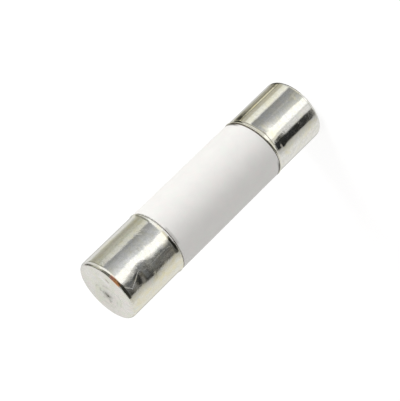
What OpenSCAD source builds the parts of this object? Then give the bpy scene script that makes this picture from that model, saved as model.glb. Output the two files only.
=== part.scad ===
// Ceramic cartridge fuse with drawn metal end caps
// It stands on one end: +Z runs along the axis, and the origin is the centre of the lower end face

/* [Overall] */
// Length over both end caps
fuse_length = 25.4; // [24:0.1:32]
// Outer diameter of the straight contact band of each cap
cap_diameter = 6.3; // [6:0.05:7]

/* [End caps] */
// Length of the upper cap, from its end face to its lip
top_cap_length = 6.45; // [5:0.05:8]
// Length of the lower cap, from its end face to its lip
bottom_cap_length = 6; // [5:0.05:8]
// Metal thickness of the cap's side wall
cap_wall = 0.15; // [0.1:0.01:0.2]
// Metal thickness of the cap's end
cap_end_thickness = 0.2; // [0.12:0.01:0.4]
// Outside radius of the shoulder between the end and the side
shoulder_radius = 0.32; // [0.26:0.01:0.6]
// Length of the bell mouth at the open end
flare_length = 0.45; // [0.3:0.05:0.8]
// How far the bell mouth stands out from the contact band
flare_rise = 0.09; // [0.06:0.01:0.15]
// How much thicker than the wall the trimmed edge of the bell mouth is
edge_bead = 0.012; // [0.006:0.002:0.03]
// Mouth radius of the small pip mark in each end face
mark_radius = 0.16; // [0.1:0.01:0.3]
// Depth of the pip mark
mark_depth = 0.05; // [0.02:0.01:0.08]
// Distance from the axis to the pip mark
mark_offset = 0.46; // [0.35:0.01:1]

/* [Ceramic tube] */
// How far the bare middle of the tube stands out from the contact bands
tube_rise = 0.02; // [0:0.01:0.06]
// Bore of the tube
bore_diameter = 4; // [3:0.1:4.6]
// Radius round both rims of the tube's end faces
tube_rim_radius = 0.1; // [0.05:0.01:0.2]
// Gap between a cap's trimmed edge and the step in the tube beside it
step_gap = 0.08; // [0.04:0.01:0.15]
// Radius of the tube's outer edge at each step
step_edge_radius = 0.05; // [0.02:0.01:0.1]

/* [Fuse wire and solder] */
// Diameter of the fuse wire
wire_diameter = 0.3; // [0.1:0.02:0.4]
// How far the folded wire's tip stays inside the tube's seat
wire_tip_inset = 0.3; // [0.2:0.05:0.5]
// Solder between the folded wire and the cap's end
solder_over_wire = 0.1; // [0.05:0.01:0.3]

/* [Fits] */
// Clearance between tube and cap, wire, solder or sand
fit_gap = 0.02; // [0.01:0.01:0.04]

/* [Hidden] */
$fn = 96;
wire_fn = 32;
// How far a cutter reaches past the face that it opens
past = 0.5;

cap_r = cap_diameter / 2;
cap_inside_r = cap_r - cap_wall;
// The inner corner of a cap follows its shoulder and is never sharp
cap_corner_radius = max(shoulder_radius - cap_wall, 0.05);
// The bell mouth is an arc that leaves the band along the side and rises by flare_rise
flare_radius = (flare_length * flare_length + flare_rise * flare_rise) / (2 * flare_rise);
flare_mid_radius = flare_radius + cap_wall / 2;
edge_r = (cap_wall + edge_bead) / 2;
flare_angle = asin((flare_length - edge_r) / flare_mid_radius);
// The pip mark is a shallow dent pressed by a ball
mark_ball_radius = (mark_radius * mark_radius + mark_depth * mark_depth) / (2 * mark_depth);
mark_angle = 130;

bore_r = bore_diameter / 2;
tube_r = cap_r + tube_rise;
seat_r = cap_inside_r - fit_gap;
wall_middle_r = (bore_r + seat_r) / 2;
wire_r = wire_diameter / 2;
// The wire lies against the bore at both rims, where it shows at the side of the sand
sand_r = bore_r - 2 * fit_gap;
tube_bottom = cap_end_thickness + solder_over_wire + wire_diameter + fit_gap;
tube_top = fuse_length - tube_bottom;
lower_step = bottom_cap_length + step_gap;
upper_step = fuse_length - top_cap_length - step_gap;
middle_z = fuse_length / 2;

// The wire crosses the bore from one rim to the opposite one
// Each fold is an arc round the centre of the rim's own rounding, at fold_x and fold_z
fold_radius = tube_rim_radius + fit_gap + wire_r;
fold_x = bore_r + tube_rim_radius;
fold_z = tube_bottom + tube_rim_radius;
fold_height = middle_z - fold_z;
fold_reach = sqrt(fold_x * fold_x + fold_height * fold_height);
wire_slope = acos(fold_radius / fold_reach) - atan2(fold_height, fold_x);
wire_half_length = sqrt(fold_reach * fold_reach - fold_radius * fold_radius);
wire_tip_x = seat_r - wire_tip_inset;
// Bending upsets the wire a little, and its straight stretches run on into the fold by a short lap
fold_swell = 0.004;
wire_lap = 0.03;

// Waste outside a rounded corner of a section, in one quadrant round the arc's centre
module corner_waste(x, z, radius, quadrant) {
    translate([x, z])
        difference() {
            rotate(quadrant)
                square(radius + past);
            circle(radius);
        }
}

// Half section of the space inside a cap, from its end up to a given height
module inside_section(height) {
    difference() {
        translate([0, cap_end_thickness])
            square([cap_inside_r, height - cap_end_thickness]);
        corner_waste(
            cap_inside_r - cap_corner_radius, cap_end_thickness + cap_corner_radius,
            cap_corner_radius, 270
        );
    }
}

// Half section of a cap's end, shoulder and straight band
module cup_section(height) {
    difference() {
        square([cap_r, height]);
        corner_waste(cap_r - shoulder_radius, shoulder_radius, shoulder_radius, 270);
        inside_section(height + past);
    }
}

// Half section of the bell mouth, a band of even thickness on an arc, with a rounded edge
module flare_section() {
    translate([cap_r + flare_radius, 0]) {
        intersection() {
            difference() {
                circle(flare_radius + cap_wall);
                circle(flare_radius);
            }
            polygon([
                [0, 0],
                [-2 * flare_radius, 0],
                [-2 * flare_radius, 2 * flare_radius * tan(flare_angle)]
            ]);
        }
        translate([-flare_mid_radius * cos(flare_angle), flare_mid_radius * sin(flare_angle)])
            circle(edge_r);
    }
}

// One drawn cap, with its closed end at the bottom
module drawn_cap(length) {
    band_top = length - flare_length;
    difference() {
        rotate_extrude() {
            cup_section(band_top);
            translate([0, band_top])
                flare_section();
        }
        rotate([0, 0, mark_angle])
            translate([mark_offset, 0, mark_depth - mark_ball_radius])
                sphere(mark_ball_radius);
    }
}

// Turns a thing made for the lower end over to the upper end
module at_top() {
    translate([0, 0, fuse_length])
        mirror([0, 0, 1])
            children();
}

module bottom_end_cap() {
    color([0.78, 0.77, 0.72])
        drawn_cap(bottom_cap_length);
}

module top_end_cap() {
    color([0.78, 0.77, 0.72])
        at_top()
            drawn_cap(top_cap_length);
}

// Half section of a tube's wall with rounded corners
module wall_section(inner, outer, low, high, radius) {
    difference() {
        translate([inner, low])
            square([outer - inner, high - low]);
        corner_waste(inner + radius, low + radius, radius, 180);
        corner_waste(inner + radius, high - radius, radius, 90);
        corner_waste(outer - radius, low + radius, radius, 270);
        corner_waste(outer - radius, high - radius, radius, 0);
    }
}

// Half section of the bare middle, which stands out from the seats between the two steps
module middle_section() {
    corner_x = tube_r - step_edge_radius;
    difference() {
        translate([wall_middle_r, lower_step])
            square([tube_r - wall_middle_r, upper_step - lower_step]);
        corner_waste(corner_x, lower_step + step_edge_radius, step_edge_radius, 270);
        corner_waste(corner_x, upper_step - step_edge_radius, step_edge_radius, 0);
    }
}

// The tube's ends are ground down as seats for the caps, so that its bare middle is flush with them
module ceramic_tube() {
    color([0.93, 0.92, 0.9])
        rotate_extrude() {
            wall_section(bore_r, seat_r, tube_bottom, tube_top, tube_rim_radius);
            middle_section();
        }
}

// One fold of the wire: round the lower rim and out over the tube's end face
module wire_fold() {
    translate([fold_x, 0, fold_z])
        rotate([90, 0, 0])
            rotate([0, 0, 180 + wire_slope])
                rotate_extrude(angle = 90 - wire_slope)
                    translate([fold_radius, 0])
                        circle(wire_r + fold_swell, $fn = wire_fn);
    translate([fold_x - wire_lap, 0, fold_z - fold_radius])
        rotate([0, 90, 0])
            cylinder(h = wire_tip_x - fold_x + wire_lap, r = wire_r, $fn = wire_fn);
}

module whole_wire() {
    translate([0, 0, middle_z])
        rotate([0, -wire_slope, 0])
            cylinder(h = 2 * (wire_half_length + wire_lap), r = wire_r, center = true, $fn = wire_fn);
    wire_fold();
    translate([0, 0, middle_z])
        rotate([0, 180, 0])
            translate([0, 0, -middle_z])
                wire_fold();
}

module fuse_wire() {
    color([0.72, 0.45, 0.3])
        whole_wire();
}

// Solder that fills a cap's end below the tube
module solder_pad() {
    rotate_extrude()
        intersection() {
            translate([-fit_gap, 0])
                inside_section(tube_bottom);
            square([cap_inside_r, tube_bottom]);
        }
}

module bottom_solder() {
    color([0.62, 0.63, 0.65])
        difference() {
            solder_pad();
            whole_wire();
        }
}

module top_solder() {
    color([0.62, 0.63, 0.65])
        difference() {
            at_top()
                solder_pad();
            whole_wire();
        }
}

module sand_filling() {
    color([0.85, 0.78, 0.62])
        difference() {
            translate([0, 0, tube_bottom])
                cylinder(h = tube_top - tube_bottom, r = sand_r);
            whole_wire();
        }
}

ceramic_tube();
top_end_cap();
bottom_end_cap();
fuse_wire();
top_solder();
bottom_solder();
sand_filling();
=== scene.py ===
"""Looks of a ceramic cartridge fuse: a white tube between two plated caps, standing on one end."""

import math
from functools import reduce

import bmesh
import bpy
from mathutils import Matrix, Vector, noise


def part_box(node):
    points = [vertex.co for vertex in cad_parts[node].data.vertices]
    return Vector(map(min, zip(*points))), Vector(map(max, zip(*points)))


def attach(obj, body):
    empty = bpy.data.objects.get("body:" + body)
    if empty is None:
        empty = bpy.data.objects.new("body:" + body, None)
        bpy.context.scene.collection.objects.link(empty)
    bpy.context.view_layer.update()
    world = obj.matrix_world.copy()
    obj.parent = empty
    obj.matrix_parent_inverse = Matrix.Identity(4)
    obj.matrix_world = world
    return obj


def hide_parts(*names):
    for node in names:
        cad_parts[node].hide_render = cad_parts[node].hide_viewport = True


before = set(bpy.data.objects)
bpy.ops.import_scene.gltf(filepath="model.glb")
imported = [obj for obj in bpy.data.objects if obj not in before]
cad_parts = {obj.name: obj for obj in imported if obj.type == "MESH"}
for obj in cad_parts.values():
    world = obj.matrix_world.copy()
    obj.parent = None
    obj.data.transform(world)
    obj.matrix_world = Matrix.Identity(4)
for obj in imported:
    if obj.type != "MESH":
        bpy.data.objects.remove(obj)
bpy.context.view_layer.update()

MM = 0.001
FULL_TURN = 2 * math.pi

# The fuse's sizes, as its construction has them
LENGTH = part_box("top_end_cap")[1][2]
TOP_CAP_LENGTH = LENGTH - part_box("top_end_cap")[0][2]
BOTTOM_CAP_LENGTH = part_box("bottom_end_cap")[1][2]
TUBE_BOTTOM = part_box("ceramic_tube")[0][2]
TUBE_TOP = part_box("ceramic_tube")[1][2]
TUBE_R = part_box("ceramic_tube")[1][0]
CAP_R = 3.15 * MM
CAP_WALL = 0.15 * MM
CAP_END = 0.2 * MM
SHOULDER_R = 0.32 * MM
INNER_CORNER_R = SHOULDER_R - CAP_WALL
FLARE_LENGTH = 0.45 * MM
FLARE_RISE = 0.09 * MM
EDGE_R = 0.081 * MM
SEAT_R = CAP_R - CAP_WALL - 0.02 * MM
BORE_R = 2 * MM
TUBE_RIM_R = 0.1 * MM
STEP_GAP = 0.08 * MM
STEP_EDGE_R = 0.05 * MM
# The tube has a little play along the axis, and it lies against the upper end
TUBE_PLAY = 0.01 * MM
LOWER_STEP = BOTTOM_CAP_LENGTH + STEP_GAP + TUBE_PLAY
UPPER_STEP = LENGTH - TOP_CAP_LENGTH - STEP_GAP

# The bell mouth is an arc that leaves the band along the side
FLARE_R = (FLARE_LENGTH ** 2 + FLARE_RISE ** 2) / (2 * FLARE_RISE)
FLARE_MIDDLE_R = FLARE_R + CAP_WALL / 2
FLARE_DEGREES = math.degrees(math.asin((FLARE_LENGTH - EDGE_R) / FLARE_MIDDLE_R))

# The small pip mark pressed into each end face
MARK_R = 0.16 * MM
MARK_DEPTH = 0.05 * MM
MARK_PLACE = Vector((-0.296, 0.352, 0)) * MM

# The caps' lips were trimmed a little out of square, and the tube's steps are out of square too: how far
# each rises for each unit along +X. The upper step follows its lip
TOP_LIP_SLANT = -0.03
BOTTOM_LIP_SLANT = 0.047
LOWER_STEP_SLANT = 0.066
# A slanted height is sheared fully this near it, and not at all this far from it
SLANT_WHOLE = 0.7 * MM
SLANT_REACH = 3 * MM

# How far the surfaces stray from their true shapes, and the radii between which the end face's waves fade
FACE_WAVES = 0.006 * MM
CAP_WAVES = 0.012 * MM
CAP_RIPPLES = 0.005 * MM
TUBE_WAVES = 0.006 * MM
FACE_WAVES_FADE = (2.3 * MM, 2.8 * MM)

# How finely the pieces are divided, round the axis and along the stretches and arcs of their half sections
SEGMENTS = 224
FACE_RINGS = 64
BAND_RINGS = 60
TUBE_RINGS = 60
SEAT_RINGS = 8
INSIDE_RINGS = 4
SHOULDER_STEPS = 16
LIP_STEPS = 12
CORNER_STEPS = 6
MERGE_REACH = 0.00001 * MM
SHARP_DEGREES = 50


class HalfSection:
    """Half section of a turned or drawn piece, drawn in the XZ plane by one moving point."""

    def __init__(self, x, z):
        self.mesh = bmesh.new()
        self.point = self.mesh.verts.new((x, 0, z))

    def line(self, x, z, rings=1):
        """A straight stretch to a point, cut into rings."""
        start = self.point.co.copy()
        for ring in range(rings):
            made = bmesh.ops.extrude_vert_indiv(self.mesh, verts=[self.point])
            self.point = made["verts"][0]
            self.point.co = start.lerp(Vector((x, 0, z)), (ring + 1) / rings)

    def arc(self, x, z, degrees, steps):
        """A round stretch about a centre. A positive turn goes from +X towards +Z."""
        made = bmesh.ops.spin(
            self.mesh, geom=[self.point], cent=(x, 0, z), axis=(0, -1, 0), dvec=(0, 0, 0),
            angle=math.radians(degrees), steps=steps, use_merge=False, use_duplicate=False
        )
        self.point = made["geom_last"][0]

    def turned(self):
        """The whole piece: the half section spun round the axis, with its seam and poles closed."""
        mesh = self.mesh
        bmesh.ops.spin(
            mesh, geom=mesh.verts[:] + mesh.edges[:], cent=(0, 0, 0), axis=(0, 0, 1), dvec=(0, 0, 0),
            angle=FULL_TURN, steps=SEGMENTS, use_merge=True, use_duplicate=False
        )
        bmesh.ops.remove_doubles(mesh, verts=mesh.verts, dist=MERGE_REACH)
        bmesh.ops.recalc_face_normals(mesh, faces=mesh.faces)
        return mesh


def new_object(name, mesh, material):
    """Makes an object of a mesh, with its material."""
    data = bpy.data.meshes.new(name)
    mesh.to_mesh(data)
    mesh.free()
    data.materials.append(material)
    made = bpy.data.objects.new(name, data)
    bpy.context.scene.collection.objects.link(made)
    return made


def finished_piece(name, mesh, material, node):
    """Makes a piece of a finished mesh, which stands for a node of the construction."""
    piece = new_object(name, mesh, material)
    piece.data.shade_smooth()
    piece.data.set_sharp_from_angle(angle=math.radians(SHARP_DEGREES))
    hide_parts(node)
    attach(piece, "root")


def eased(value, low, high):
    """0 below low, 1 above high and a smooth rise between."""
    share = min(max((value - low) / (high - low), 0), 1)
    return share * share * (3 - 2 * share)


def bearing(point):
    """Degrees round the axis: 0 faces -Y, and 90 faces +X."""
    return math.degrees(math.atan2(point.x, -point.y))


def waviness(point, around, along, seed):
    """Smooth unevenness from 0 to 1 of a surface round the axis, with humps of these sizes."""
    direction = Vector((point.x, point.y, 0))
    radius = max(direction.length, 0.1 * MM)
    place = Vector((point.x / around, point.y / around, point.z / along + seed))
    return 0.5 + 0.5 * noise.noise(place) * min(radius / MM, 1)


def move_inwards(vertex, depth):
    """Moves a point of a side towards the axis."""
    radius = math.hypot(vertex.co.x, vertex.co.y)
    if radius > depth:
        scale = 1 - depth / radius
        vertex.co.x *= scale
        vertex.co.y *= scale


# Dents that handling left in the caps, in degrees and millimetres: bearing and height of the middle, reach
# round and along, and depth
TOP_CAP_DENTS = (
    (-19, 23.05, 1.05, 1.0, 0.095),
    (-44, 23.0, 1.3, 1.0, 0.076),
    (-3, 24.75, 0.6, 0.9, 0.02),
    (-2, 21.4, 0.6, 0.6, 0.022),
    (-2, 19.7, 0.6, 0.4, 0.022),
    (-34, 22.1, 0.5, 0.8, 0.016),
    (-42, 20.4, 0.5, 0.4, 0.01),
    (33, 21.6, 0.9, 0.7, 0.014),
    (3, 23.4, 0.8, 0.7, 0.014),
)
BOTTOM_CAP_DENTS = (
    (4, 5.25, 0.8, 0.45, 0.045),
    (-30.5, 4.9, 0.4, 0.26, 0.02),
    (12, 0.7, 0.4, 0.25, 0.01),
)


def dent_depth(point, dents):
    """Depth of the dents at a point of a cap's side."""
    depth = 0
    for angle, height, around, along, deepest in dents:
        turn = (bearing(point) - angle + 180) % 360 - 180
        aside = math.radians(turn) * CAP_R / MM
        distance = math.hypot(aside / around, (point.z / MM - height) / along)
        depth += deepest * MM * math.exp(-distance * distance)
    return depth


def cap_shell(length):
    """A drawn cap with its closed end at the bottom, before its wear."""
    band_end = length - FLARE_LENGTH
    flare_x = CAP_R + FLARE_R
    flare = math.radians(FLARE_DEGREES)
    bead_x = flare_x - FLARE_MIDDLE_R * math.cos(flare)
    bead_z = band_end + FLARE_MIDDLE_R * math.sin(flare)
    inside_r = CAP_R - CAP_WALL
    inside_flare_r = FLARE_R + CAP_WALL
    section = HalfSection(0, 0)
    section.line(CAP_R - SHOULDER_R, 0, FACE_RINGS)
    section.arc(CAP_R - SHOULDER_R, SHOULDER_R, 90, SHOULDER_STEPS)
    section.line(CAP_R, band_end, BAND_RINGS)
    section.arc(flare_x, band_end, -FLARE_DEGREES, LIP_STEPS)
    section.line(bead_x + EDGE_R * math.cos(flare), bead_z - EDGE_R * math.sin(flare))
    section.arc(bead_x, bead_z, 180, LIP_STEPS)
    section.line(flare_x - inside_flare_r * math.cos(flare), band_end + inside_flare_r * math.sin(flare))
    section.arc(flare_x, band_end, FLARE_DEGREES, CORNER_STEPS)
    section.line(inside_r, CAP_END + INNER_CORNER_R, INSIDE_RINGS)
    section.arc(inside_r - INNER_CORNER_R, CAP_END + INNER_CORNER_R, -90, CORNER_STEPS)
    section.line(0, CAP_END, INSIDE_RINGS)
    return section.turned()


def press_mark(mesh):
    """Presses the pip mark and a slight unevenness into the outer end face."""
    for vertex in mesh.verts:
        point = vertex.co
        if point.z > 0.5 * MARK_DEPTH:
            continue
        reach = (Vector((point.x, point.y, 0)) - MARK_PLACE).length / MARK_R
        inner = 1 - eased(math.hypot(point.x, point.y), *FACE_WAVES_FADE)
        point.z += FACE_WAVES * inner * waviness(point, 1.1 * MM, 1 * MM, 4.2)
        point.z += MARK_DEPTH * max(1 - reach * reach, 0)


def slant(mesh, height, slope):
    """Shears what lies about a height, as in a lip trimmed out of square."""
    for vertex in mesh.verts:
        share = 1 - eased(abs(vertex.co.z - height), SLANT_WHOLE, SLANT_REACH)
        vertex.co.z += slope * vertex.co.x * share


def wear_side(mesh, dents, seed):
    """Bends a cap's side a little, as drawing and handling leave it."""
    for vertex in mesh.verts:
        point = vertex.co
        if math.hypot(point.x, point.y) < CAP_R - CAP_WALL / 2:
            continue
        depth = CAP_WAVES * waviness(point, 1.5 * MM, 2.6 * MM, seed)
        depth += CAP_RIPPLES * waviness(point, 0.55 * MM, 0.8 * MM, seed + 7)
        move_inwards(vertex, depth + dent_depth(point, dents))


def bottom_cap_mesh():
    """The lower cap, with its mark, its wear and its slanted lip."""
    mesh = cap_shell(BOTTOM_CAP_LENGTH)
    press_mark(mesh)
    wear_side(mesh, BOTTOM_CAP_DENTS, 3.1)
    slant(mesh, BOTTOM_CAP_LENGTH, BOTTOM_LIP_SLANT)
    return mesh


def top_cap_mesh():
    """The upper cap, drawn and marked as the lower one is, then turned over and worn."""
    mesh = cap_shell(TOP_CAP_LENGTH)
    press_mark(mesh)
    turned_over = Matrix.Translation((0, 0, LENGTH)) @ Matrix.Diagonal((1, 1, -1, 1))
    bmesh.ops.transform(mesh, matrix=turned_over, verts=mesh.verts)
    bmesh.ops.recalc_face_normals(mesh, faces=mesh.faces)
    wear_side(mesh, TOP_CAP_DENTS, 8.4)
    slant(mesh, LENGTH - TOP_CAP_LENGTH, TOP_LIP_SLANT)
    return mesh


def tube_mesh():
    """The tube with its ground seats, whose steps follow the lips beside them."""
    rim = TUBE_RIM_R
    edge = STEP_EDGE_R
    section = HalfSection(BORE_R, TUBE_BOTTOM + rim)
    section.line(BORE_R, TUBE_TOP - rim)
    section.arc(BORE_R + rim, TUBE_TOP - rim, -90, CORNER_STEPS)
    section.line(SEAT_R - rim, TUBE_TOP)
    section.arc(SEAT_R - rim, TUBE_TOP - rim, -90, CORNER_STEPS)
    section.line(SEAT_R, UPPER_STEP, SEAT_RINGS)
    section.line(TUBE_R - edge, UPPER_STEP)
    section.arc(TUBE_R - edge, UPPER_STEP - edge, -90, CORNER_STEPS)
    section.line(TUBE_R, LOWER_STEP + edge, TUBE_RINGS)
    section.arc(TUBE_R - edge, LOWER_STEP + edge, -90, CORNER_STEPS)
    section.line(SEAT_R, LOWER_STEP)
    section.line(SEAT_R, TUBE_BOTTOM + rim, SEAT_RINGS)
    section.arc(SEAT_R - rim, TUBE_BOTTOM + rim, -90, CORNER_STEPS)
    section.line(BORE_R + rim, TUBE_BOTTOM)
    section.arc(BORE_R + rim, TUBE_BOTTOM + rim, -90, CORNER_STEPS)
    mesh = section.turned()
    for vertex in mesh.verts:
        if math.hypot(vertex.co.x, vertex.co.y) > TUBE_R - edge / 2:
            move_inwards(vertex, TUBE_WAVES * waviness(vertex.co, 2.5 * MM, 4 * MM, 1.3))
    slant(mesh, LOWER_STEP, LOWER_STEP_SLANT)
    slant(mesh, UPPER_STEP, TOP_LIP_SLANT)
    return mesh


def hypotenuse(x, y):
    """How far a point is that lies this far along two axes, as numbers or wires."""
    return (x * x + y * y) ** 0.5


class Wire:
    """One output of a material's nodes. Sums, products and the like of wires and numbers add Math nodes."""

    def __init__(self, finish, socket):
        self.finish = finish
        self.socket = socket

    def math(self, operation, first, second=0.0):
        return self.finish.node("ShaderNodeMath", {"operation": operation}, {0: first, 1: second})

    def __add__(self, other):
        return self.math("ADD", self, other)

    def __radd__(self, other):
        return self.math("ADD", other, self)

    def __sub__(self, other):
        return self.math("SUBTRACT", self, other)

    def __rsub__(self, other):
        return self.math("SUBTRACT", other, self)

    def __mul__(self, other):
        return self.math("MULTIPLY", self, other)

    def __rmul__(self, other):
        return self.math("MULTIPLY", other, self)

    def __pow__(self, other):
        return self.math("POWER", self, other)

    def __rpow__(self, other):
        return self.math("POWER", other, self)

    def absolute(self):
        return self.math("ABSOLUTE", self)

    def smaller(self, other):
        return self.math("MINIMUM", self, other)

    def larger(self, other):
        return self.math("MAXIMUM", self, other)

    def angle(self, other):
        """Degrees of a turn away from the other's axis towards this one's."""
        return self.math("ARCTAN2", self, other) * (360 / FULL_TURN)

    def eased(self, low, high):
        """0 at low, 1 at high and a smooth change between, also where low is above high."""
        return self.finish.node(
            "ShaderNodeMapRange", {"interpolation_type": "SMOOTHSTEP", "clamp": True},
            {"Value": self, "From Min": low, "From Max": high}
        )

    def between(self, low, high, soft):
        """1 between two values, with soft edges outside them."""
        return self.eased(low - soft, low) * self.eased(high + soft, high)


class Finish:
    """The nodes of one material or of the world."""

    def __init__(self, owner):
        owner.use_nodes = True
        self.owner = owner
        self.tree = owner.node_tree
        self.tree.nodes.clear()

    def node(self, kind, settings=None, values=None, output=0):
        """Adds a node with its settings, then the values or links of its inputs, and returns an output."""
        made = self.tree.nodes.new(kind)
        for name, value in (settings or {}).items():
            setattr(made, name, value)
        for name, value in (values or {}).items():
            if isinstance(value, Wire):
                self.tree.links.new(value.socket, made.inputs[name])
            else:
                made.inputs[name].default_value = value
        return Wire(self, made.outputs[output]) if made.outputs else None

    def position(self):
        """The place of a point on the piece, in millimetres."""
        place = self.node("ShaderNodeTexCoord", output="Object")
        return self.scaled(place, 1 / MM, 1 / MM, 1 / MM)

    def scaled(self, vector, x, y, z):
        """A vector, or a colour, with each of its three numbers multiplied."""
        return self.node("ShaderNodeVectorMath", {"operation": "MULTIPLY"}, {0: vector, 1: (x, y, z)})

    def axes(self, vector):
        """The three numbers of a vector."""
        split = self.node("ShaderNodeSeparateXYZ", values={0: vector})
        outputs = split.socket.node.outputs
        return [Wire(self, outputs[name]) for name in ("X", "Y", "Z")]

    def joined(self, x, y, z):
        """A vector made of three numbers."""
        return self.node("ShaderNodeCombineXYZ", values={0: x, 1: y, 2: z})

    def bearing(self, x, y):
        """Degrees round the axis: 0 faces -Y, and 90 faces +X."""
        return x.angle(0 - y)

    def ramp(self, share, stops):
        """A value that runs through the heights of its stops, each a place from 0 to 1 and a height."""
        made = self.node("ShaderNodeValToRGB", values={"Fac": share})
        elements = made.socket.node.color_ramp.elements
        for index, (place, height) in enumerate(stops):
            element = elements[index] if index < len(elements) else elements.new(place)
            element.position = place
            element.color = (height, height, height, 1)
        return made

    def noise(self, place, scale, detail, roughness, distortion=0.0):
        """A cloudy value from 0 to 1 and mostly near 0.5."""
        return self.node("ShaderNodeTexNoise", {"noise_dimensions": "3D"}, {
            "Vector": place, "Scale": scale, "Detail": detail, "Roughness": roughness,
            "Distortion": distortion
        })

    def patch(self, across, along, x, y, wide, high):
        """1 in the middle of a soft round patch and 0 outside it."""
        aside = (across - x) * (1 / wide)
        beyond = (along - y) * (1 / high)
        return (aside * aside + beyond * beyond).eased(1.0, 0.0)

    def from_path(self, across, along, points):
        """Distance from a path of straight stretches, on a surface that is rolled out flat."""
        distances = []
        for (x1, y1), (x2, y2) in zip(points, points[1:]):
            run = x2 - x1
            rise = y2 - y1
            square = run * run + rise * rise
            past = across - x1
            up = along - y1
            share = (past * (run / square) + up * (rise / square)).larger(0.0).smaller(1.0)
            aside = past - share * run
            beyond = up - share * rise
            distances.append(hypotenuse(aside, beyond))
        return reduce(Wire.smaller, distances)

    def mixed(self, share, first, second):
        """One colour turned into another by a share."""
        return self.node(
            "ShaderNodeMix", {"data_type": "RGBA", "clamp_factor": True},
            {0: share, 6: first, 7: second}, output=2
        )

    def bumped(self, height):
        """Normals of a surface whose height is given in millimetres."""
        return self.node("ShaderNodeBump", values={"Strength": 1.0, "Distance": MM, "Height": height})

    def principled(self, **values):
        """The material's surface: sockets by their names, with underscores for spaces."""
        named = {name.replace("_", " "): value for name, value in values.items()}
        self.surface(self.node("ShaderNodeBsdfPrincipled", values=named))

    def surface(self, shader):
        """Ends the nodes with the output that their owner takes."""
        kind = "World" if isinstance(self.owner, bpy.types.World) else "Material"
        self.node("ShaderNodeOutput" + kind, values={"Surface": shader})


def colour(red, green, blue):
    return (red, green, blue, 1.0)


def lit(tint, level):
    """The colour of a tint at a level of light."""
    return colour(*(part * level for part in tint))


PLATING = colour(0.73, 0.725, 0.705)
PITTED = colour(0.57, 0.57, 0.555)
TARNISH = colour(0.71, 0.67, 0.5)
BLUSH = colour(0.77, 0.68, 0.68)
VERDURE = colour(0.65, 0.72, 0.64)
# Dark colour for real marks and dirt, and for painted shade under the upper lip, in a dent's crease, in the
# pip marks, towards one edge of the end faces and beside the tube's steps
DIRT_AND_SHADE = colour(0.16, 0.15, 0.13)
WORN_BRASS = colour(0.72, 0.34, 0.15)
WORN_COPPER = colour(0.76, 0.38, 0.3)
GLAZE = colour(0.92, 0.913, 0.885)
GLAZE_SHADE = colour(0.875, 0.865, 0.845)
GLAZE_WARM = colour(0.93, 0.895, 0.87)
GLAZE_GREEN = colour(0.885, 0.91, 0.865)
RUBBED = colour(0.8, 0.8, 0.83)
# Near white for the painted highlight on the upper cap's lip
LIP_HIGHLIGHT_WHITE = colour(0.95, 0.94, 0.93)
# Painted shade in the gaps between the caps' lips and the tube, and painted light that cancels the shadow
# in the upper gap
GAP_SHADE = colour(0.42, 0.38, 0.33)
GAP_LIGHT = colour(0.93, 0.925, 0.915)
PORE = colour(0.62, 0.6, 0.57)
TIN = colour(0.7, 0.69, 0.67)
BARE_COPPER = colour(0.75, 0.42, 0.27)
SOLDER = colour(0.6, 0.61, 0.63)
FROSTED_SOLDER = colour(0.48, 0.48, 0.49)
SAND = colour(0.82, 0.76, 0.62)
DARK_SAND = colour(0.64, 0.55, 0.42)
PAPER = colour(0.4, 0.4, 0.4)
FULL_WHITE = colour(1, 1, 1)
# Millimetres round a cap's side for each degree of bearing
ROLL_OUT = CAP_R / MM * FULL_TURN / 360
# How deep the unevenness of each cap's plating is, in millimetres
TOP_PEEL = 0.01
BOTTOM_PEEL = 0.003

# Scratches across the front of the upper cap: bearings, and heights in millimetres, and how deep each is
SCRATCHES = (
    (((-15, 25.05), (-25.5, 24.6), (-10.5, 23.1), (-17.8, 22.6)), 1.0),
    (((-10.5, 23.1), (-3, 23.08)), 0.5),
    (((-17.8, 22.6), (-17, 21.2), (-16, 20.3), (-17, 19.7), (-21, 19.3)), 0.4),
    (((-43.9, 23.1), (-34, 22.95)), 0.4),
    (((-44, 22.1), (-33.2, 21.97)), 0.4),
    (((34.3, 20.9), (27.1, 20.6)), 0.5),
    (((36.2, 20.6), (31.6, 20.4)), 0.5),
    (((31.6, 20.2), (22.9, 19.9)), 0.4),
    (((18.7, 21.9), (13.9, 21.7)), 0.4),
)
# Marks on its end face, in millimetres: a short dark nick, and a brighter rub
FACE_NICK = ((0.45, -1.85), (0.72, -1.87))
FACE_RUB = ((0.35, -1.37), (1.15, -1.42))
# Its shoulder is worn down to the brass about this bearing
WORN_BEARING = 4
# Where its side is dinged all over, and a dent's crease that has painted shade: bearing, height, and reach
# round and along
DINGED = (-14, 22.2, 1.15, 3.6)
CREASE_SHADE = (-21, 23.35, 0.45, 0.28)
# Where its lip has a painted highlight, and where it has painted shade: the bearings of both ends, and
# their softness
LIP_HIGHLIGHT_BEARINGS = (-13, 6, 8)
LIP_SHADE_BEARINGS = (-26, -7, 4)
# Filmed patches of its side: bearing, height, reach round and along, and how much of the film there is
FILMED = (
    (-22, 21.5, 1.1, 1.4, 0.13),
    (-21.5, 24.35, 0.28, 0.8, 0.11),
    (-15.5, 22.5, 0.75, 0.9, 0.3),
)
# How ragged the film's edge is, in millimetres
FILM_RAGGED = 0.5


def scratched(finish, across, z):
    """How deeply the upper cap's side is scratched, from 0 to 1."""
    ragged = finish.noise(finish.joined(across, 0.0, z), 6.0, 2.0, 0.5) * 0.05
    depths = []
    for path, depth in SCRATCHES:
        points = [(angle * ROLL_OUT, height) for angle, height in path]
        distance = finish.from_path(across, z, points) + ragged
        depths.append(distance.eased(0.11, 0.045) * depth)
    return reduce(Wire.larger, depths)


def round_mark(finish, x, y):
    """Distance from the pip mark, and the faint rings that run round it."""
    aside = x - MARK_PLACE.x / MM
    beyond = y - MARK_PLACE.y / MM
    from_mark = hypotenuse(aside, beyond)
    turn = finish.bearing(aside, beyond)
    return from_mark, finish.noise(finish.joined(from_mark, turn * 0.008, 3.0), 3.2, 3.0, 0.6)


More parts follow.
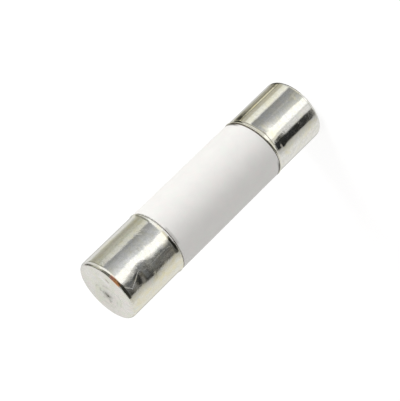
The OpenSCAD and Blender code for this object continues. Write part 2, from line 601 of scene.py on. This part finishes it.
def marked_lip(finish, shade, veil, turn, from_lip):
    """The upper cap's lip, with a painted highlight over one stretch of its front and painted shade over
    the one beside it.
    """
    # Painted highlight on the lip's edge: near-white colour and less metal
    lip_highlight = from_lip.eased(0.17, 0.12) * turn.between(*LIP_HIGHLIGHT_BEARINGS)
    # Painted shade on the flare just above the lip's edge
    painted_lip_shade = from_lip.between(0.14, 0.3, 0.06) * turn.between(*LIP_SHADE_BEARINGS)
    shade = finish.mixed(lip_highlight * 0.8, shade, LIP_HIGHLIGHT_WHITE)
    return finish.mixed(painted_lip_shade * 0.7, shade, DIRT_AND_SHADE), veil + lip_highlight * 0.85


def worn_shoulder(finish, turn, radius, from_end, grain):
    """Where the upper cap's shoulder is worn through, and the colour of the metal there."""
    from_worn = turn - WORN_BEARING
    edge = radius.eased(2.8, 2.88) * from_end.eased(0.27, 0.18)
    worn = edge * (from_worn + grain * 3).absolute().eased(14, 8) * grain.eased(0.2, 0.4)
    return worn, finish.mixed(from_worn.eased(-2, 6), WORN_BRASS, WORN_COPPER)


def plated_cap(name, end_height, lip_height, peel_depth, handled):
    """Bright plating, uneven and stained, with a satin end face with painted shade. The handled cap has
    marks and painted light of its own.
    """
    finish = Finish(bpy.data.materials.new(name))
    place = finish.position()
    x, y, z = finish.axes(place)
    radius = hypotenuse(x, y)
    turn = finish.bearing(x, y)
    across = turn * ROLL_OUT
    from_end = (z - end_height / MM).absolute()
    on_face = from_end.eased(0.12, 0.02)
    on_side = radius.eased(2.98, 3.1)

    # Unevenness at several scales
    peel = finish.noise(place, 2.6, 3.0, 0.6)
    drawing = finish.noise(finish.scaled(place, 1, 1, 0.12), 9.0, 3.0, 0.6)
    cloud = finish.noise(place, 0.8, 3.0, 0.55)
    blotch = finish.noise(place, 1.9, 3.0, 0.6, 0.4)
    pits = finish.noise(place, 3.6, 4.0, 0.7, 0.3)
    film = finish.noise(finish.scaled(place, 1, 1, 0.7), 2.3, 3.0, 0.6, 0.5)
    haze = finish.noise(place, 1.3, 3.0, 0.65, 0.6).eased(0.48, 0.7)
    grain = finish.noise(place, 10.0, 3.0, 0.65)
    speck = finish.noise(place, 5.0, 2.0, 0.5).eased(0.7, 0.78)

    from_mark, rings = round_mark(finish, x, y)
    near_mark = from_mark.eased(2.4, 0.6)
    # Painted shade in the pip mark
    pip_mark_shade = on_face * (from_mark + blotch * 0.3).eased(0.78, 0.22)

    # Stains and tints, with painted shade on the end face
    near_lip = (z - lip_height / MM).absolute().eased(0.5, 0.1)
    # The upper cap's side is tinted yellower between bearings -92 and -40
    lower_side = on_side * turn.between(-92, -40, 15) * handled
    stain = cloud.eased(0.42, 0.72) * 0.4 + blotch.eased(0.5, 0.7) * 0.35
    stain = stain + near_lip * (0.08 if handled else 0.3) + speck * 0.2
    shade = finish.mixed(pits.eased(0.4, 0.66) * 0.55, PLATING, PITTED)
    shade = finish.mixed(stain + lower_side * (0.14 + film.eased(0.3, 0.66) * 0.45), shade, TARNISH)
    shade = finish.mixed(blotch.eased(0.42, 0.28) * 0.4, shade, BLUSH)
    shade = finish.mixed(film.eased(0.44, 0.3) * 0.38, shade, VERDURE)
    shade = finish.mixed(on_face * film.eased(0.5, 0.6) * 0.45, shade, BLUSH)
    shade = finish.mixed(on_face * cloud.eased(0.5, 0.6) * 0.35, shade, VERDURE)
    face_marks_and_shade = on_face * (near_mark * rings.eased(0.52, 0.68) * 0.32 + from_mark.eased(1.1, 0.2) * 0.16)
    # Painted shade: the end face darker towards +Y
    face_marks_and_shade = face_marks_and_shade + on_face * y.eased(0.5, 2.2) * 0.09

    # How veiled, rough and uneven the plating is
    veil = haze * peel_depth * 2.5
    side_rough = 0.08 + peel * peel_depth * 5 + haze * peel_depth * 8 + speck * 0.2
    face_rough = 0.2 + rings * near_mark * 0.2 + cloud * 0.06
    height = on_side * (peel * peel_depth + drawing * 0.0008) + grain * 0.0007
    height = height + on_face * (rings * near_mark * 0.02 + peel * 0.012)

    # Marks of the upper cap alone, with a painted highlight and painted shade at its lip and painted shade
    # in a dent's crease
    if handled:
        nick = on_face * finish.from_path(x, y, FACE_NICK).eased(0.14, 0.03)
        rub = on_face * (finish.from_path(x, y, FACE_RUB) + grain * 0.1).eased(0.3, 0.05)
        face_marks_and_shade = face_marks_and_shade + nick * 0.6
        shade = finish.mixed(rub * 0.6, shade, RUBBED)
        scratch = on_side * scratched(finish, across, z)
        side_rough = side_rough + scratch * 0.38
        veil = veil + scratch * 0.14
        angle, middle, wide, high = DINGED
        dinged = on_side * finish.patch(across, z, angle * ROLL_OUT, middle, wide, high)
        height = height - scratch * 0.006 + dinged * finish.noise(place, 1.1, 1.0, 0.5) * 0.016
        for angle, middle, wide, high, share in FILMED:
            filmed = finish.patch(
                across + film * FILM_RAGGED, z + blotch * FILM_RAGGED,
                angle * ROLL_OUT + FILM_RAGGED / 2, middle + FILM_RAGGED / 2, wide, high
            )
            veil = veil + on_side * filmed * pits.eased(0.3, 0.6) * share
        from_lip = z - (x * TOP_LIP_SLANT + lip_height / MM)
        shade, veil = marked_lip(finish, shade, veil, turn, from_lip)
        # Painted shade in a dent's crease
        angle, middle, wide, high = CREASE_SHADE
        crease_shade = on_side * finish.patch(across, z, angle * ROLL_OUT, middle, wide, high)
        shade = finish.mixed(crease_shade * 0.5, shade, DIRT_AND_SHADE)
        worn, brass = worn_shoulder(finish, turn, radius, from_end, grain)
        shade = finish.mixed(worn, shade, brass)
        side_rough = side_rough + worn * 0.2

    # Real marks, with painted shade in the pip mark and towards one edge of the face, darken the colour
    shade = finish.mixed(face_marks_and_shade + pip_mark_shade * 0.55, shade, DIRT_AND_SHADE)
    finish.principled(
        Base_Color=shade,
        Metallic=1.0 - veil,
        Roughness=side_rough + (face_rough - side_rough) * on_face,
        Normal=finish.bumped(height),
    )
    return finish.owner


# Stretches along the tube's steps, by the bearings of both ends and their softness: painted shade beside
# the lower step on either side, painted shade on the ceramic beside the upper step, and painted shade kept
# in the upper gap
LOWER_STEP_SHADE_SIDES = (60, 120, 18)
UPPER_STEP_SHADE_SIDES = (-22, 4, 6)
DARK_GAP_SIDES = (-22, 6, 12)


def tube_ceramic():
    """White ceramic with a satin glaze, fine grain, faint marks of handling, and painted shade and light by
    the steps and gaps.
    """
    finish = Finish(bpy.data.materials.new("tube_ceramic"))
    place = finish.position()
    x, y, z = finish.axes(place)
    in_gap = hypotenuse(x, y).eased(TUBE_R / MM - 0.05, SEAT_R / MM + 0.05)
    cloud = finish.noise(place, 0.7, 4.0, 0.6)
    warm = finish.noise(place, 1.1, 3.0, 0.6, 0.4)
    green = finish.noise(finish.scaled(place, 1, 1, 0.8), 1.3, 3.0, 0.6, 0.4)
    grain = finish.noise(place, 14.0, 5.0, 0.7)
    pores = finish.noise(place, 22.0, 2.0, 0.5).eased(0.7, 0.8)
    smudge = finish.noise(finish.scaled(place, 1, 1, 0.5), 0.9, 4.0, 0.6).eased(0.55, 0.8)
    shade = finish.mixed(cloud.eased(0.35, 0.65) * 0.6 + smudge * 0.3, GLAZE, GLAZE_SHADE)
    shade = finish.mixed(warm.eased(0.5, 0.65) * 0.6, shade, GLAZE_WARM)
    shade = finish.mixed(green.eased(0.5, 0.65) * 0.6, shade, GLAZE_GREEN)
    shade = finish.mixed(pores * 0.35, shade, PORE)
    turn = finish.bearing(x, y)
    # Painted shade on the ceramic beside the lower step, on both sides
    from_step = z - (x * LOWER_STEP_SLANT + LOWER_STEP / MM)
    lower_step_shade = from_step.eased(0.34, 0.12) * turn.absolute().between(*LOWER_STEP_SHADE_SIDES)
    shade = finish.mixed(lower_step_shade, shade, DIRT_AND_SHADE)
    # Painted shade on the ceramic below the upper step, at the front
    below_step = x * TOP_LIP_SLANT + UPPER_STEP / MM - z
    upper_step_shade = below_step.eased(0.32, 0.12) * turn.between(*UPPER_STEP_SHADE_SIDES)
    shade = finish.mixed(upper_step_shade * 0.35, shade, DIRT_AND_SHADE)
    # The gaps under the lips: painted shade, but painted light in the upper gap away from its front
    middle = LENGTH / MM / 2
    pale = z.eased(middle - 1, middle + 1) * (1 - turn.between(*DARK_GAP_SIDES))
    gap_tone = finish.mixed(pale, GAP_SHADE, GAP_LIGHT)
    shade = finish.mixed(in_gap, shade, gap_tone)
    finish.principled(
        Base_Color=shade,
        Roughness=0.5 + grain * 0.12 - smudge * 0.08,
        Normal=finish.bumped(grain * 0.0015 - pores * 0.003),
    )
    return finish.owner


def tinned_wire():
    """Tinned copper wire with drawing lines and copper at its folds."""
    finish = Finish(bpy.data.materials.new("tinned_wire"))
    place = finish.position()
    lines = finish.noise(finish.scaled(place, 1, 1, 0.1), 20.0, 3.0, 0.6)
    bare = finish.noise(place, 2.5, 3.0, 0.6).eased(0.5, 0.7)
    finish.principled(
        Base_Color=finish.mixed(bare, TIN, BARE_COPPER),
        Metallic=1.0,
        Roughness=0.3 + lines * 0.2,
        Normal=finish.bumped(lines * 0.002),
    )
    return finish.owner


def flowed_solder():
    """Dull solder that set in slow waves."""
    finish = Finish(bpy.data.materials.new("flowed_solder"))
    place = finish.position()
    waves = finish.noise(place, 1.6, 3.0, 0.5, 0.8)
    frost = finish.noise(place, 16.0, 3.0, 0.7)
    finish.principled(
        Base_Color=finish.mixed(frost.eased(0.35, 0.7), SOLDER, FROSTED_SOLDER),
        Metallic=1.0,
        Roughness=0.35 + frost * 0.3,
        Normal=finish.bumped(waves * 0.03 + frost * 0.003),
    )
    return finish.owner


def packed_sand():
    """Packed quartz grains of a few tenths of a millimetre."""
    finish = Finish(bpy.data.materials.new("packed_sand"))
    place = finish.position()
    cells = finish.node("ShaderNodeTexVoronoi", {"feature": "F1"}, {"Vector": place, "Scale": 5.0})
    tint = finish.noise(place, 5.0, 1.0, 0.5)
    finish.principled(
        Base_Color=finish.mixed(tint.eased(0.35, 0.65), SAND, DARK_SAND),
        Roughness=0.75 + tint * 0.15,
        Normal=finish.bumped(0.06 - cells * 0.12),
    )
    return finish.owner


def dress_nodes():
    """Gives the pieces inside, whose shapes are right as they are, their finishes."""
    finishes = {
        "fuse_wire": tinned_wire(),
        "top_solder": flowed_solder(),
        "sand_filling": packed_sand(),
    }
    finishes["bottom_solder"] = finishes["top_solder"]
    for name, material in finishes.items():
        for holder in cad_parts[name].material_slots:
            holder.material = material


# The camera looks down on the standing fuse and is rolled, so that the axis lies aslant in the picture. The
# last value is where the middle of the fuse falls in it
PICTURE_WIDTH = 400
PICTURE_HEIGHT = 401
FOCAL_PIXELS = 1700
SENSOR = 36.0
CAMERA_ELEVATION = 25
CAMERA_ROLL = -134.3
CAMERA_DISTANCE = 149.3 * MM
MIDDLE_PIXEL = (202.97, 196.55)


def place_camera():
    """The camera, placed so that the fuse's middle falls on its pixel."""
    data = bpy.data.cameras.new("camera")
    data.sensor_width = SENSOR
    data.lens = FOCAL_PIXELS * SENSOR / max(PICTURE_WIDTH, PICTURE_HEIGHT)
    data.clip_start = 10 * MM
    data.clip_end = 10
    camera = bpy.data.objects.new("camera", data)
    tilt = Matrix.Rotation(math.radians(90 - CAMERA_ELEVATION), 4, "X")
    roll = Matrix.Rotation(math.radians(CAMERA_ROLL), 4, "Z")
    turn = tilt @ roll
    pixel = CAMERA_DISTANCE / FOCAL_PIXELS
    right = (MIDDLE_PIXEL[0] - (PICTURE_WIDTH - 1) / 2) * pixel
    down = (MIDDLE_PIXEL[1] - (PICTURE_HEIGHT - 1) / 2) * pixel
    middle = Vector((0, 0, LENGTH / 2))
    place = middle - turn.to_3x3() @ Vector((right, -down, -CAMERA_DISTANCE))
    camera.matrix_world = Matrix.Translation(place) @ turn
    bpy.context.scene.collection.objects.link(camera)
    bpy.context.scene.camera = camera


# The world's light on the object, and the strength that the camera sees as white
SKY_LIGHT = 0.375
SKY_TINT = colour(1.0, 0.972, 0.97)
WHITE = 1.0


def seen_directly(finish):
    """1 for what the camera sees itself, or in metal or glass, and 0 for light on the object."""
    path = finish.node("ShaderNodeLightPath", output="Is Camera Ray")
    outputs = path.socket.node.outputs
    direct = path.larger(Wire(finish, outputs["Is Glossy Ray"]))
    return direct.larger(Wire(finish, outputs["Is Transmission Ray"]))


def light_world():
    """An even sky, which the camera sees as white."""
    world = bpy.data.worlds.new("studio")
    bpy.context.scene.world = world
    finish = Finish(world)
    direct = seen_directly(finish)
    tint = finish.mixed(direct, SKY_TINT, FULL_WHITE)
    strength = SKY_LIGHT + direct * (WHITE - SKY_LIGHT)
    finish.surface(finish.node("ShaderNodeBackground", values={"Color": tint, "Strength": strength}))


# Large soft lamps, which metal doesn't mirror, because it shows the tent: bearing, elevation, distance and
# size in metres, and light
LAMPS = (
    ("key_softbox", 67, 22, 0.45, 0.26, 0.6),
    ("fill_softbox", -10, 25, 0.5, 0.3, 0.075),
    ("back_softbox", 182, 20, 0.5, 0.28, 0.32),
)


def light_lamps():
    """The lamps, each turned to the fuse's middle."""
    middle = Vector((0, 0, LENGTH / 2))
    for name, side, rise, distance, size, light in LAMPS:
        data = bpy.data.lights.new(name, "AREA")
        data.shape = "SQUARE"
        data.size = size
        data.energy = light * math.pi * math.pi * distance ** 2
        lamp = bpy.data.objects.new(name, data)
        around = math.radians(side)
        up = math.radians(rise)
        level = math.cos(up)
        towards = Vector((math.sin(around) * level, -math.cos(around) * level, math.sin(up)))
        turn = towards.to_track_quat("Z", "Y").to_matrix().to_4x4()
        lamp.matrix_world = Matrix.Translation(middle + towards * distance) @ turn
        lamp.visible_glossy = False
        lamp.visible_camera = False
        bpy.context.scene.collection.objects.link(lamp)


STAGE_SEGMENTS = 96
FLOOR_R = 1.2
# The floor lies this far under the fuse
FLOOR_DROP = 0.01 * MM
# What the floor gives off by itself, as the camera sees it near the fuse and as the fuse is lit by it
FLOOR_OWN_LIGHT = 0.775
FLOOR_BOUNCE = 0.4
# Between these distances from the axis, in millimetres, the floor turns fully white
FLOOR_FADES = (60, 300)


def floor_paper():
    """Paper that glows, so that it looks white although the lamps are low."""
    finish = Finish(bpy.data.materials.new("floor_paper"))
    direct = seen_directly(finish)
    x, y = finish.axes(finish.position())[:2]
    far = hypotenuse(x, y).eased(*FLOOR_FADES)
    own_light = FLOOR_OWN_LIGHT + far * (WHITE - FLOOR_OWN_LIGHT)
    strength = FLOOR_BOUNCE + direct * (own_light - FLOOR_BOUNCE)
    glow = finish.node("ShaderNodeEmission", values={"Color": FULL_WHITE, "Strength": strength})
    paper = finish.node("ShaderNodeBsdfDiffuse", values={"Color": PAPER})
    finish.surface(finish.node("ShaderNodeAddShader", values={0: glow, 1: paper}))
    return finish.owner


def lay_floor():
    """A pale floor that the camera sees as white, with the fuse's soft shadow and no far edge."""
    mesh = bmesh.new()
    bmesh.ops.create_circle(mesh, cap_ends=True, segments=STAGE_SEGMENTS, radius=FLOOR_R)
    floor = new_object("floor", mesh, floor_paper())
    floor.location.z = -FLOOR_DROP
    floor.visible_glossy = False


# The light tent round the fuse, which only shiny surfaces show: the upper cap's side mirrors its upper row
# of cards, and the lower cap's side the lower row. Each card has the bearings of both edges, the softness
# of both, its lowest and highest elevation, its light at both edges, and its tint, and it hides the cards
# that come before it
TENT_R = 90 * MM
PLAIN = (1.0, 1.0, 0.98)
PALE = (1.0, 0.995, 0.965)
CREAM = (1.0, 1.0, 0.9)
OLIVE = (1.0, 1.0, 0.84)
STRAW = (1.0, 0.95, 0.72)
WHEAT = (1.0, 0.965, 0.8)
COOL = (0.94, 0.98, 1.0)
SILVERY = (0.97, 0.99, 1.0)
BROWN = (1.0, 0.97, 0.9)
WALL_LIGHT = 0.96
UPPER_ROW = (-24, -7.5)
LOWER_ROW = (-38, -24)
# Softness of a card's top and bottom
CARD_SOFT = 0.3
CARDS = {
    "shade_by_flags": ((-98, -65.5), (30, 3), (-90, 90), (0.97, 0.54), PALE),
    "upper_flag": ((-66.5, -34), (5, 6), (-24, 90), (0.025, 0.13), BROWN),
    "upper_flag_lip": ((-67, -40), (5, 8), (-24, -15.9), (0.12, 0.2), BROWN),
    "upper_flag_rim": ((-67, -40), (5, 8), (-24, -18.3), (0.22, 0.3), BROWN),
    "upper_flag_seam": ((-47, -43), (3, 3), UPPER_ROW, (0.12, 0.12), BROWN),
    "upper_flag_edge": ((-37, -14), (6, 7), (-24, 90), (0.145, 0.19), COOL),
    "lower_pale": ((-42, -12), (4, 4), (-90, -24), (1.0, 1.0), PALE),
    "lower_seam": ((-21.5, -18.5), (2, 3), LOWER_ROW, (0.86, 0.86), PALE),
    "lower_edge": ((-66, -38), (5, 8), (-39.2, -24), (0.45, 0.34), BROWN),
    "lower_flag": ((-66, -39), (4, 6), (-35.6, -24), (0.022, 0.03), COOL),
    "lower_flag_corner": ((-58, -26.5), (5, 6), (-32.2, -24), (0.03, 0.04), COOL),
    "lower_flag_foot": ((-68, -48), (4, 4), (-46, -39.2), (0.12, 0.12), COOL),
    "upper_slope_left": ((-21, -9.5), (4, 6), UPPER_ROW, (0.55, 0.95), PLAIN),
    "upper_slope_lip": ((-29, -9.5), (6, 6), (-24, -18.3), (0.3, 0.95), PLAIN),
    "upper_strip": ((-11.5, 13), (5, 7), (-24, -2), (1.5, 1.5), PLAIN),
    "upper_flag_end": ((-60, -16), (5, 5), (-12.6, 0), (0.12, 0.3), COOL),
    "lower_strip": ((-16, 8), (6, 7), (-90, -24), (1.5, 1.5), PLAIN),
    "upper_slope": ((14, 34), (4, 4), UPPER_ROW, (1.06, 0.7), SILVERY),
    "upper_grey": ((32, 66), (8, 5), UPPER_ROW, (0.68, 0.34), SILVERY),
    "upper_slope_right": ((12, 34), (5, 8), (-24, -16.4), (0.84, 0.6), SILVERY),
    "lower_slope": ((8, 34), (3, 10), LOWER_ROW, (0.86, 0.43), SILVERY),
    "lower_slope_lip": ((8, 34), (3, 10), (-32.2, -24), (1.16, 0.47), PLAIN),
    "lower_grey": ((34, 64), (10, 5), LOWER_ROW, (0.46, 0.34), SILVERY),
    "upper_cream": ((68.5, 84), (4, 6), UPPER_ROW, (0.88, 0.8), CREAM),
    "lower_cream": ((68.5, 90), (5, 8), LOWER_ROW, (1.25, 0.95), CREAM),
    "upper_olive": ((84, 128), (6, 12), UPPER_ROW, (0.61, 0.62), OLIVE),
    "upper_olive_dip": ((101, 117), (12, 12), UPPER_ROW, (0.5, 0.5), WHEAT),
    "lower_olive": ((88, 146), (6, 14), LOWER_ROW, (0.66, 0.46), WHEAT),
    "lower_cracks": ((105, 127), (3, 3), LOWER_ROW, (0.34, 0.34), STRAW),
    "lower_line": ((109.5, 116), (2, 2), LOWER_ROW, (1.1, 1.1), STRAW),
    "lower_wedge": ((110, 136), (8, 6), (-32.0, -24), (0.05, 0.05), OLIVE),
    "lower_corner": ((110, 150), (6, 8), (-80, -36), (0.04, 0.04), OLIVE),
    "horizon": ((-44, 110), (10, 10), (-46, -39.5), (0.42, 0.42), OLIVE),
    "white_above": ((14, 76), (5, 6), (-7.5, 60), (1.3, 1.3), PLAIN),
    "lip_shade": ((64, 130), (6, 8), (-11.5, -1.5), (0.3, 0.36), OLIVE),
    "white_behind": ((76, 130), (6, 8), (0, 60), (0.9, 0.9), PALE),
    "back_grey": ((150, 174), (8, 12), (-90, 12), (0.75, 0.5), PLAIN),
    "back_shade": ((-174, -147), (14, 12), (-90, 12), (0.5, 0.78), PALE),
    "behind_right": ((140, 190), (8, 8), (2, 14), (0.7, 0.7), PALE),
    "behind_left": ((-190, -150), (8, 8), (2, 14), (0.7, 0.7), PALE),
}
# The dark ceiling's light by bearing
CEILING_LIGHT = (
    (-180, 0.08), (-22, 0.03), (-12, 0.09), (0, 0.15), (8, 0.28), (20, 0.33), (30, 0.18), (38, 0.11),
    (46, 0.11), (54, 0.2), (70, 0.36), (85, 0.42), (105, 0.22), (125, 0.12), (145, 0.13), (180, 0.08),
)
# The elevation of its lower edge by bearing
CEILING_EDGE = (
    (-180, 68), (-130, 72), (-98, 68), (-76, 42), (-68, 20), (-60, -4), (-16, -6), (-10, 10),
    (-4, 20), (20, 28), (40, 38), (60, 41), (80, 43), (105, 36), (125, 22), (150, 26), (180, 54),
)
# Three patches of it that are lighter or darker than the rest, in the form of cards
CEILING_CARDS = {
    "gleam": ((84, 150), (10, 10), (46, 61), (0.64, 0.64), OLIVE),
    "zenith": ((24, 170), (10, 10), (66, 90), (0.09, 0.09), OLIVE),
    "skylight": ((-190, 190), (2, 2), (77, 90), (0.55, 0.55), PALE),
}


def with_cards(finish, turn, rise, light, cards):
    """The tent's light with cards hung before it."""
    for (first, last), (first_soft, last_soft), (bottom, top), levels, tint in cards.values():
        left = turn.eased(first - first_soft / 2, first + first_soft / 2)
        right = turn.eased(last + last_soft / 2, last - last_soft / 2)
        place = left * right * rise.between(bottom, top, CARD_SOFT)
        share = (turn - first) * (1 / (last - first))
        light_at_first, light_at_last = [lit(tint, level) for level in levels]
        light = finish.mixed(place, light, finish.mixed(share, light_at_first, light_at_last))
    return light


def ceiling_part(finish, turn, rise):
    """1 where the dark ceiling is, and its colour there."""
    around = turn * (1 / 360) + 0.5
    edge = finish.ramp(
        around, [((angle + 180) / 360, (height + 90) / 180) for angle, height in CEILING_EDGE]
    )
    light = finish.ramp(around, [((angle + 180) / 360, level) for angle, level in CEILING_LIGHT])
    return (rise * (1 / 180) + 0.5 - edge).eased(-0.02, 0.02), finish.scaled(light, *OLIVE)


def tent_cloth():
    """The tent's cloth with the cards and the ceiling, all of which glow."""
    finish = Finish(bpy.data.materials.new("tent_cloth"))
    x, y, z = finish.axes(finish.position())
    turn = finish.bearing(x, y)
    rise = z.angle(hypotenuse(x, y))
    light = with_cards(finish, turn, rise, lit(PALE, WALL_LIGHT), CARDS)
    share, ceiling = ceiling_part(finish, turn, rise)
    light = finish.mixed(share, light, ceiling)
    light = with_cards(finish, turn, rise, light, CEILING_CARDS)
    finish.surface(finish.node("ShaderNodeEmission", values={"Color": light, "Strength": 1.0}))
    return finish.owner


def hang_tent():
    """The tent, a sphere about the fuse's middle that only reflections show."""
    mesh = bmesh.new()
    bmesh.ops.create_uvsphere(
        mesh, u_segments=STAGE_SEGMENTS, v_segments=STAGE_SEGMENTS // 2, radius=TENT_R
    )
    tent = new_object("light_tent", mesh, tent_cloth())
    tent.location.z = LENGTH / 2
    tent.visible_camera = False
    tent.visible_diffuse = False
    tent.visible_shadow = False
    tent.visible_transmission = False
    tent.visible_volume_scatter = False


def build_fuse():
    """The three pieces that show, and the finishes of those inside."""
    top_plating = plated_cap("upper_cap_plating", LENGTH, LENGTH - TOP_CAP_LENGTH, TOP_PEEL, True)
    bottom_plating = plated_cap("lower_cap_plating", 0, BOTTOM_CAP_LENGTH, BOTTOM_PEEL, False)
    finished_piece("upper_cap", top_cap_mesh(), top_plating, "top_end_cap")
    finished_piece("lower_cap", bottom_cap_mesh(), bottom_plating, "bottom_end_cap")
    finished_piece("white_tube", tube_mesh(), tube_ceramic(), "ceramic_tube")
    dress_nodes()


bpy.context.scene.view_settings.view_transform = "Standard"
place_camera()
light_world()
light_lamps()
lay_floor()
hang_tent()
build_fuse()
